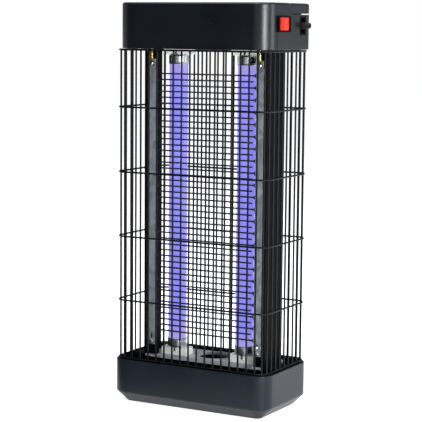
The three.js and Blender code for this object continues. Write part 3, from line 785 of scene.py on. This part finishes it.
@dataclass
class Head(SubAssembly):
    """The head's moulded shell, with a recess for the folded handle, a switch panel and a finger scoop."""

    plan: RoundedPlan = RoundedPlan(81.9, -44.0, 54.5, 16.5)
    bottom: float = 346.2
    top: float = 390.0
    bevel: float = 2.4
    roof: float = 371.0
    shoulder: float = 379.3
    pivot: tuple[float, float] = (5.7, 385.0)
    island: RoundedPlan = RoundedPlan(75.7, -70.0, 45.7, 10.0)
    switch_hole: tuple[float, float, float, float] = (-24.2, 363.6, -2.2, 377.2)
    inlet_hole: tuple[float, float, float, float] = (22.5, 360.25, 35.5, 377.75)
    rebate_nose: float = 5.4
    scoop_axis: tuple[float, float] = (55.0, 381.0)
    scoop_radius: float = 9.0
    scoop_half: float = 18.0

    def outer_levels(self, low: float) -> list[tuple[float, float]]:
        """The skin from a level up over the rounded top edge."""
        turn = [(self.bevel * (1 - math.sin(a)), self.top - self.bevel * (1 - math.cos(a)))
                for a in (math.radians(90 - 90 * i / 6) for i in range(7))]
        return [(0.0, low + 0.6), *turn]

    def build(self) -> None:
        levels = [(2.4, self.roof), (2.4, self.bottom), (0.5, self.bottom), (0.15, self.bottom + 0.15),
                  *self.outer_levels(self.bottom)]
        skin = lofted("head_skin", self.plan, levels)
        carve(skin, [self._rebate(), self._scoop(), *self._pockets()])
        panel = self._panel()
        shell = join("head_shell_looks", [settle(soften(skin, 0.22, 2, 50)), panel])
        self.show(shell, BLACK_ABS, "tower", "head_shell")
        self.dress("head_base_plate", BLACK_NYLON, 0.2)
        for number in range(1, 5):
            self.dress(f"plate_screw_{number}", ZINC_PLATE, 0.1)

    def _rebate(self) -> bpy.types.Object:
        y, z = self.pivot
        nose = arc(self.pivot, self.rebate_nose, 180, 270, 10)
        profile = [(y - self.rebate_nose, self.top + 5), *nose, (y + 3, self.shoulder),
                   (80, self.shoulder), (80, self.top + 5)]
        cutter = slab("rebate", profile, -PAST, PAST, SIDE_VIEW)
        core = lofted("island", self.island, [(0, self.shoulder - 8), (0, self.top + 10)])
        return carve(cutter, [core])

    def _scoop(self) -> bpy.types.Object:
        outline = arc(self.scoop_axis, self.scoop_radius, 0, 350, 35)
        cutter = slab("scoop", outline, -self.scoop_half, self.scoop_half, SIDE_VIEW)
        return settle(soften(cutter, 1.5, 3, 60))

    def _pockets(self) -> list[bpy.types.Object]:
        front, low, rear, high = self.switch_hole
        switch = brick("switch_pocket", (56, front, low), (90, rear, high))
        front, low, rear, high = self.inlet_hole
        inlet = brick("inlet_pocket", (68, front, low), (90, rear, high))
        return [switch, inlet]

    def _panel(self) -> bpy.types.Object:
        plate = brick("switch_panel", (80.5, -25, 346.6), (82.4, -1.2, 379))
        front, low, rear, high = self.switch_hole
        opening = brick("switch_opening", (70, front, low), (90, rear, high))
        return settle(soften(carve(plate, [opening]), 0.45, 3))


@dataclass
class CarryHandle(SubAssembly):
    """The U-shaped handle that folds flush with the head's top, and its two pins."""

    head: Head = field(default_factory=Head)
    clearance: float = 0.3
    underside: float = 380.4

    def build(self) -> None:
        head = self.head
        body = lofted("handle_skin", head.plan, head.outer_levels(head.shoulder - 3))
        core = lofted("handle_core", RoundedPlan(
            head.island.half_width + self.clearance, head.island.front,
            head.island.rear + self.clearance, head.island.corner), [(0, 360), (0, 400)])
        y, z = head.pivot
        nose = arc(head.pivot, 5.0, 90, 270, 16)
        profile = [*nose, (y + 4, self.underside), (80, self.underside),
                   (80, head.top + 5), (y, head.top + 5)]
        keep = slab("handle_side", profile, -PAST, PAST, SIDE_VIEW)
        carve(body, [core])
        carve(body, [keep], "INTERSECT")
        bores = [self._bore(side) for side in Side]
        carve(body, bores)
        settle(soften(body, 0.4, 3, 45))
        body.name = "carry_handle_looks"
        self.show(body, BLACK_ABS, "handle", "carry_handle")
        for side in Side:
            self.dress(f"handle_pin_{side.word}", ZINC_PLATE, 0.15)

    def _bore(self, side: Side) -> bpy.types.Object:
        low, high = sorted((side.value * 70, side.value * 79.3))
        return slab(f"bore_{side.word}", arc(self.head.pivot, 1.7, 0, 345, 23), low, high, SIDE_VIEW)


@dataclass
class SwitchAndInlet(SubAssembly):
    """The red rocker in its bezel, and the recessed cord entry behind it."""

    def build(self) -> None:
        self.dress("switch_body", BLACK_NYLON, 0.35)
        self.dress("switch_rocker", RED_PC, 0.6)
        self.dress("inlet_surround", BLACK_NYLON, 0.3)
        self.dress("cord_gland", GLAND_RUBBER, 0.3)


@dataclass
class WireGuard(SubAssembly):
    """The welded wire cage: uprights all round, and level rings outside them."""

    half_width: float = 80.8
    half_depth: float = 43.4
    corner: float = 9.5
    wire: float = 1.8
    pitch: float = 9.0
    across_front: int = 17
    across_side: int = 9
    bottom: float = 43.4
    top: float = 345.8
    ring_out: float = 1.1
    first_ring: float = 101.5
    ring_pitch: float = 62.8
    ring_count: int = 4
    end_rings: tuple[float, float] = (44.3, 344.9)

    def build(self) -> None:
        pattern = Pattern("wire_guard_pattern")
        radius = pattern.take("Wire radius", "Float", self.wire / 2 * MM)
        pitch = pattern.take("Wire pitch", "Float", self.pitch * MM)
        wide = pattern.take("Half width", "Float", self.half_width * MM)
        deep = pattern.take("Half depth", "Float", self.half_depth * MM)
        corner = pattern.take("Corner radius", "Float", self.corner * MM)
        tall = pattern.take("Wire length", "Float", (self.top - self.bottom) * MM)
        front = pattern.take("Wires across the front", "Int", self.across_front)
        side = pattern.take("Wires across a side", "Int", self.across_side)
        out = pattern.take("Ring stands out", "Float", self.ring_out * MM)
        middle = (self.top + self.bottom) / 2 * MM
        upright = pattern.add("MeshCylinder", {
            "Vertices": 12, "Radius": radius, "Depth": tall}).outputs["Mesh"]
        points = pattern.gather([
            *self._walls(pattern, front, pitch, deep, middle, along_x=True),
            *self._walls(pattern, side, pitch, wide, middle, along_x=False),
            self._corners(pattern, wide, deep, corner, middle)])
        wires = pattern.copies(points, upright)
        rings = self._rings(pattern, wide, deep, corner, out, radius)
        soft = pattern.add("SetShadeSmooth", {"Geometry": pattern.gather([wires, rings])}).outputs["Geometry"]
        cage = pattern.finish(soft, WIRE_COAT, "wire_guard_looks")
        self.show(cage, WIRE_COAT, "tower", "guard_front", "guard_rear", "guard_left", "guard_right")

    def _walls(self, pattern, count, pitch, away, height, along_x: bool) -> list:
        run = pattern.math("MULTIPLY", pattern.math("SUBTRACT", count, 1.0), pitch)
        first = pattern.math("MULTIPLY", run, -0.5)
        back = pattern.math("MULTIPLY", away, -1.0)
        if along_x:
            return [pattern.row(count, pattern.vector(first, y, height), pattern.vector(pitch, 0.0, 0.0))
                    for y in (away, back)]
        return [pattern.row(count, pattern.vector(x, first, height), pattern.vector(0.0, pitch, 0.0))
                for x in (away, back)]

    def _corners(self, pattern, wide, deep, corner, height):
        cut = pattern.math("MULTIPLY", corner, 1 - math.sqrt(0.5))
        size = [pattern.math("MULTIPLY", pattern.math("SUBTRACT", half, cut), 2.0) for half in (wide, deep)]
        grid = pattern.add("MeshGrid", {
            "Size X": size[0], "Size Y": size[1], "Vertices X": 2, "Vertices Y": 2})
        moved = pattern.add("Transform", {"Geometry": grid.outputs["Mesh"], "Translation": (0, 0, height)})
        return moved.outputs["Geometry"]

    def _rings(self, pattern, wide, deep, corner, out, radius):
        size = [pattern.math("MULTIPLY", pattern.math("ADD", half, out), 2.0) for half in (wide, deep)]
        path = pattern.add("CurvePrimitiveQuadrilateral", {
            "Width": size[0], "Height": size[1]}).outputs["Curve"]
        turn = pattern.math("ADD", corner, out)
        soft = pattern.add("FilletCurve", {
            "Curve": path, "Radius": turn, "Count": 10}, mode="POLY").outputs["Curve"]
        round_wire = pattern.add("CurvePrimitiveCircle", {
            "Resolution": 12, "Radius": radius}).outputs["Curve"]
        ring = pattern.add("CurveToMesh", {"Curve": soft, "Profile Curve": round_wire}).outputs["Mesh"]
        rows = [pattern.row(self.ring_count, (0, 0, self.first_ring * MM), (0, 0, self.ring_pitch * MM))]
        rows += [pattern.row(1, (0, 0, z * MM), (0, 0, 0)) for z in self.end_rings]
        return pattern.copies(pattern.gather(rows), ring)


@dataclass
class Grid(SubAssembly):
    """The two interleaved combs, their bus strips, insulators, screws and terminal lugs."""

    plane: float = -12.7
    sheet: float = 1.0
    fingers: int = 45
    lowest: float = 69.2
    highest: float = 321.9
    finger: float = 1.4
    gullet_corner: float = 2.8
    spine_inner: float = 54.6
    spine_outer: float = 61.5
    tip: float = 51.4
    strip: tuple[float, float] = (55.2, 62.9)
    strip_front: float = -14.5
    strip_ends: tuple[float, float] = (54.4, 336.0)
    flange_ends: tuple[float, float] = (64.0, 324.0)
    slot_ends: tuple[float, float] = (61.4, 65.4)
    screw_level: float = 57.2
    terminal: float = 331.5
    hole: float = 1.5
    crimp: tuple[float, float] = (336.0, 349.0)

    def build(self) -> None:
        pitch = (self.highest - self.lowest) / (self.fingers - 1)
        self._comb(Side.LEFT, self.lowest + pitch, self.fingers // 2, pitch)
        self._comb(Side.RIGHT, self.lowest, self.fingers // 2 + 1, pitch)
        for side in Side:
            self._strip(side)
            self.dress(f"grid_insulator_lower_{side.word}", BLACK_NYLON, 0.3)
            self.dress(f"grid_insulator_upper_{side.word}", BLACK_NYLON, 0.3)
            self.dress(f"strip_screw_{side.word}", ZINC_PLATE, 0.1)
            self.dress(f"terminal_screw_{side.word}", ZINC_PLATE, 0.1)
            self._lug(side)

    def _cell(self, side: Side, pitch: float) -> bpy.types.Object:
        """One finger with the half gullets above and below it, centred on height 0."""
        half = self.finger / 2
        turn = self.gullet_corner
        upper = [(self.spine_outer, pitch), (self.spine_inner, pitch)]
        upper += arc((self.spine_inner - turn, half + turn), turn, 0, -90, 6)
        upper += arc((-self.tip + half, 0), half, 90, 180, 3)
        lower = [(x, -z) for x, z in reversed(upper[:-1])]
        outline = [(x * side.value, z) for x, z in [*upper, *lower]]
        cell = slab(f"comb_cell_{side.word}", outline, -self.sheet / 2, self.sheet / 2, FRONT_VIEW)
        cell.data.materials.append(COMB_STEEL.material())
        return cell

    def _comb(self, side: Side, first: float, count: int, pitch: float) -> None:
        cell = self._cell(side, pitch)
        pattern = Pattern(f"comb_{side.word}_pattern")
        shape = pattern.take("Finger", "Object", cell)
        number = pattern.take("Fingers", "Int", count)
        start = pattern.take("First finger", "Vector", (0, self.plane * MM, first * MM))
        step = pattern.take("Step", "Vector", (0, 0, 2 * pitch * MM))
        source = pattern.add("ObjectInfo", {"Object": shape}).outputs["Geometry"]
        rows = pattern.copies(pattern.row(number, start, step), source)
        comb = pattern.finish(rows, COMB_STEEL, f"grid_comb_{side.word}_looks")
        bpy.data.objects.remove(cell)
        self.show(comb, COMB_STEEL, "tower", f"grid_comb_{side.word}")

    def _strip(self, side: Side) -> None:
        inner, outer = self.strip
        front = self.strip_front
        (low, high), (foot, head) = self.strip_ends, self.flange_ends
        face = brick("strip_face", (inner, front, low), (outer, front + 1, high))
        flange = brick("strip_flange", (outer - 0.9, front + 0.5, foot), (outer, front + 6, head))
        body = carve(face, [flange], "UNION")
        middle = (inner + outer) / 2
        slot_low, slot_high = self.slot_ends
        slot = [*arc((middle, slot_high), 1.1, 0, 180, 8), *arc((middle, slot_low), 1.1, 180, 360, 8)]
        cuts = [slab("slot", slot, -20, 30, FRONT_VIEW)]
        for z in (self.screw_level, self.terminal):
            cuts.append(slab("hole", arc((middle, z), self.hole, 0, 340, 17), -20, 30, FRONT_VIEW))
        carve(body, cuts)
        if side is Side.LEFT:
            body.data.transform(Matrix.Scale(-1, 4, (1, 0, 0)))
            body.data.flip_normals()
        settle(soften(body, 0.18, 2))
        body.name = f"bus_strip_{side.word}_looks"
        self.show(body, ZINC_SHEET, "tower", f"bus_strip_{side.word}")

    def _lug(self, side: Side) -> None:
        """A ring terminal: the eye under the screw, its neck, and the crimped barrel above."""
        x = side.value * (self.strip[0] + self.strip[1]) / 2
        front, z = self.strip_front - 1.1, self.terminal
        eye = slab("eye", arc((x, z), 2.9, 0, 345, 23), -front - 0.8, -front, FRONT_VIEW)
        hole = slab("eye_hole", arc((x, z), self.hole, 0, 345, 23), -front - 2, -front + 2, FRONT_VIEW)
        neck = brick("neck", (x - 1.2, front, z + 2.2), (x + 1.2, front + 0.8, z + 5))
        carve(eye, [neck], "UNION")
        carve(eye, [hole])
        low, high = self.crimp
        ribs = [(0.0, low), (1.7, low)]
        for i in range(4):
            ribs += [(radius, low + up + 1.5 * i) for radius, up in ((1.9, 0.4), (1.9, 1.2), (1.55, 1.5))]
        barrel = revolved("barrel", [*ribs, (1.0, low + 6.4), (1.0, high), (0.0, high)], (x, front + 0.4), 20)
        lug = join(f"terminal_lug_{side.word}_looks", [settle(soften(eye, 0.12, 2)), barrel])
        self.show(lug, BRASS, "tower", f"terminal_lug_{side.word}")


@dataclass
class Lamp(SubAssembly):
    """One lit tube with its spun caps and its two lampholders."""

    side: Side = Side.LEFT
    x: float = 37.7
    y: float = 0.5
    radius: float = 9.1
    cap_radius: float = 9.6
    cap_height: float = 9.0
    pin_offset: float = 2.375
    bottom: float = 51.9
    top: float = 340.2

    def build(self) -> None:
        word, at = self.side.word, (self.side.value * self.x, self.y)
        low, high = self.bottom + 2.4, self.top - 2.4
        neck = self.radius - 0.5
        glass = [(neck - 1, low), (neck, low), (self.radius, low + 4), (self.radius, high - 4), (neck, high),
                 (neck - 1, high), (neck - 1, low)]
        self.show(revolved(f"lamp_tube_{word}_looks", glass, at, 48), LIT_TUBE, "tower", f"lamp_tube_{word}")
        for level, way, name in ((self.bottom, 1, "lower"), (self.top, -1, "upper")):
            self.show(self._cap(level, way, at, name), SPUN_CAP, "tower", f"lamp_cap_{name}_{word}")
            self.dress(f"lampholder_{name}_{word}", CREAM_PBT, 0.5)

    def _cap(self, level: float, way: int, at: tuple[float, float], name: str) -> bpy.types.Object:
        r, h = self.cap_radius, self.cap_height
        profile = [(0, 0), (r - 1.2, 0), (r - 0.5, 0.2), (r - 0.12, 0.7), (r, 1.4), (r, h - 1.6),
                   (r - 0.3, h - 1.2), (r - 0.05, h - 0.7), (r - 0.05, h - 0.3), (r - 0.3, h),
                   (r - 0.36, h), (r - 0.36, 2.2), (0, 2.2)]
        spun = revolved("spun_cup", [(a, level + way * z) for a, z in profile], at, 48)
        pins = [revolved("pin", [(0, level - way * 3.8), (0.8, level - way * 3.8), (1.1, level - way * 3.3),
                                 (1.1, level + way * 0.5), (0, level + way * 0.5)],
                         (at[0] + shift, at[1]), 14) for shift in (-self.pin_offset, self.pin_offset)]
        return join(f"lamp_cap_{name}_{self.side.word}_looks", [spun, *pins])


@dataclass
class TowerFrame(SubAssembly):
    """The black posts at both sides and the light grey deck between them."""

    def build(self) -> None:
        for side in Side:
            self.dress(f"side_post_{side.word}", BLACK_NYLON, 0.4)
        self.dress("deck_plate", DECK_PAINT, 0.25)


@dataclass
class Electronics(SubAssembly):
    """What sits on the board inside the head."""

    def build(self) -> None:
        self.dress("circuit_board", GREEN_BOARD, 0.1)
        self.dress("high_voltage_transformer", YELLOW_TAPE, 0.5)
        self.dress("mains_terminal_block", CREAM_PBT, 0.4)
        for side in Side:
            self.dress(f"lamp_ballast_{side.word}", IRON_STACK, 0.4)
            self.dress(f"filter_capacitor_{side.word}", BLUE_SLEEVE, 0.5)


# ------------------------------------------------------------------ studio
@dataclass(frozen=True)
class Softbox:
    """A soft area light."""

    name: str
    place: tuple[float, float, float]
    aim: tuple[float, float, float]
    size: tuple[float, float]
    watts: float

    def build(self) -> None:
        """Hangs the light."""
        data = bpy.data.lights.new(self.name, "AREA")
        data.shape, data.size, data.size_y = "RECTANGLE", *self.size
        data.energy = self.watts
        lamp = bpy.data.objects.new(self.name, data)
        lamp.location = self.place
        lamp.rotation_euler = (Vector(self.aim) - Vector(self.place)).to_track_quat("-Z", "Y").to_euler()
        bpy.context.scene.collection.objects.link(lamp)


@dataclass(frozen=True)
class Studio:
    """Pale floor, white backdrop, soft lights, dark flags mirrored by the glossy front, and the camera."""

    boxes: tuple[Softbox, ...] = (
        Softbox("side_softbox", (1.5, -0.55, 0.5), (0.0, 0.0, 0.2), (0.35, 1.2), 9.0),
        Softbox("corner_softbox", (1.33, -0.89, 0.28), (0.0, 0.0, 0.28), (0.4, 0.5), 15.7),
        Softbox("rear_side_softbox", (1.6, 0.7, 0.5), (0.0, 0.0, 0.2), (0.8, 1.2), 10.0),
        Softbox("top_softbox", (0.0, 0.1, 1.7), (0.0, 0.0, 0.2), (1.6, 1.6), 26.0),
        Softbox("front_softbox", (-0.2, -2.2, 2.2), (0.0, 0.0, 0.1), (1.6, 0.8), 20.0),
    )
    surround: float = 0.3
    backdrop: float = 1.0
    floor_glow: float = 0.75
    camera_place: tuple[float, float, float] = (0.73174, -1.30824, 0.36841)
    heading: float = 29.23
    dip: float = 6.81
    roll: float = 0.47
    lens: float = 132.46
    flag_turn: float = -29.0

    def build(self) -> None:
        """Sets up floor, backdrop, light, flags and camera."""
        self._floor()
        self._backdrop()
        self._flags()
        self._world()
        for box in self.boxes:
            box.build()
        self._camera()
        bpy.context.scene.view_settings.view_transform = "Standard"

    def _floor(self) -> None:
        outline = [(-9000, -9000), (9000, -9000), (9000, 9000), (-9000, 9000)]
        floor = slab("studio_floor", outline, -20, -0.2)
        floor.data.materials.append(STUDIO_WHITE.material())
        surface = floor.data.materials[0].node_tree.nodes["Principled BSDF"]
        surface.inputs["Emission Color"].default_value = (1.0, 1.0, 1.0, 1.0)
        surface.inputs["Emission Strength"].default_value = self.floor_glow
        floor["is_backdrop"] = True

    def _backdrop(self) -> None:
        """A white dome round everything, which gives the background and lights nothing."""
        curve = arc((0, 0), 8900, -90, 90, 24)
        dome = revolved("studio_backdrop", [(max(r, 0.0), z) for r, z in curve], (0, 0), 48)
        paper = bpy.data.materials.new("lit_white_paper")
        paper.use_nodes = True
        paper.node_tree.nodes.clear()
        light = add_node(paper.node_tree, "ShaderNodeEmission", {
            "Color": (1.0, 1.0, 1.0, 1.0), "Strength": self.backdrop})
        add_node(paper.node_tree, "ShaderNodeOutputMaterial", {"Surface": light.outputs[0]})
        dome.data.materials.append(paper)
        dome.visible_diffuse = dome.visible_glossy = dome.visible_shadow = dome.visible_transmission = False
        dome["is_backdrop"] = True

    def _flags(self) -> None:
        """Matt black cards, seen only in reflections, where the front's mirror image looks."""
        cloth = bpy.data.materials.new("black_flag_cloth")
        cloth.use_nodes = True
        cloth.node_tree.nodes["Principled BSDF"].inputs["Base Color"].default_value = srgb("#08090b")
        cloth.node_tree.nodes["Principled BSDF"].inputs["Roughness"].default_value = 1.0
        upright = [(-1500, 2), (900, 2), (900, 2400), (-1500, 2400)]
        lying = [(-1500, -2400), (900, -2400), (900, -130), (-1500, -130)]
        turn = Matrix.Rotation(math.radians(self.flag_turn), 4, "Z")
        standing = turn @ Matrix.Translation((0, -2.4, 0)) @ FRONT_VIEW
        cards = [slab("studio_flag_upright", upright, 0, 5, standing),
                 slab("studio_flag_lying", lying, 1, 2, turn)]
        for card in cards:
            card.data.materials.append(cloth)
            card.visible_camera = card.visible_diffuse = card.visible_shadow = False
            card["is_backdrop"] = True

    def _world(self) -> None:
        world = bpy.data.worlds.new("dim_surround")
        world.use_nodes = True
        sky = world.node_tree.nodes["Background"]
        sky.inputs["Color"].default_value = (0.86, 0.92, 1.0, 1.0)
        sky.inputs["Strength"].default_value = self.surround
        bpy.context.scene.world = world

    def _camera(self) -> None:
        data = bpy.data.cameras.new("camera")
        data.lens, data.sensor_width, data.sensor_fit = self.lens, 36.0, "HORIZONTAL"
        data.clip_start, data.clip_end = 0.05, 50.0
        camera = bpy.data.objects.new("camera", data)
        turn = (Matrix.Rotation(math.radians(self.heading), 4, "Z")
                @ Matrix.Rotation(math.radians(90 - self.dip), 4, "X")
                @ Matrix.Rotation(math.radians(self.roll), 4, "Z"))
        camera.matrix_world = Matrix.Translation(self.camera_place) @ turn
        bpy.context.scene.collection.objects.link(camera)
        bpy.context.scene.camera = camera


def plain(bounds: object) -> object:
    """Bounds as plain lists of numbers, ready for JSON."""
    if isinstance(bounds, dict):
        return {key: plain(value) for key, value in bounds.items()}
    if isinstance(bounds, (int, float, str)) or bounds is None:
        return bounds
    return [plain(value) for value in bounds]


def main() -> None:
    """Builds every sub-assembly and the studio, and measures the bounds before and after."""
    logging.basicConfig(level=logging.INFO, format="%(message)s")
    at_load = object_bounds()
    groups = [InsectTray(), TowerFrame(), Grid(), Lamp(Side.LEFT), Lamp(Side.RIGHT), Head(), CarryHandle(),
              SwitchAndInlet(), Electronics(), WireGuard()]
    for group in groups:
        group.build()
        for piece in group.made:
            LOG.info("%s: %s", type(group).__name__, piece)
    Studio().build()
    at_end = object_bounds()
    {"loaded": plain(at_load), "finished": plain(at_end)}


if __name__ == "__main__":
    main()
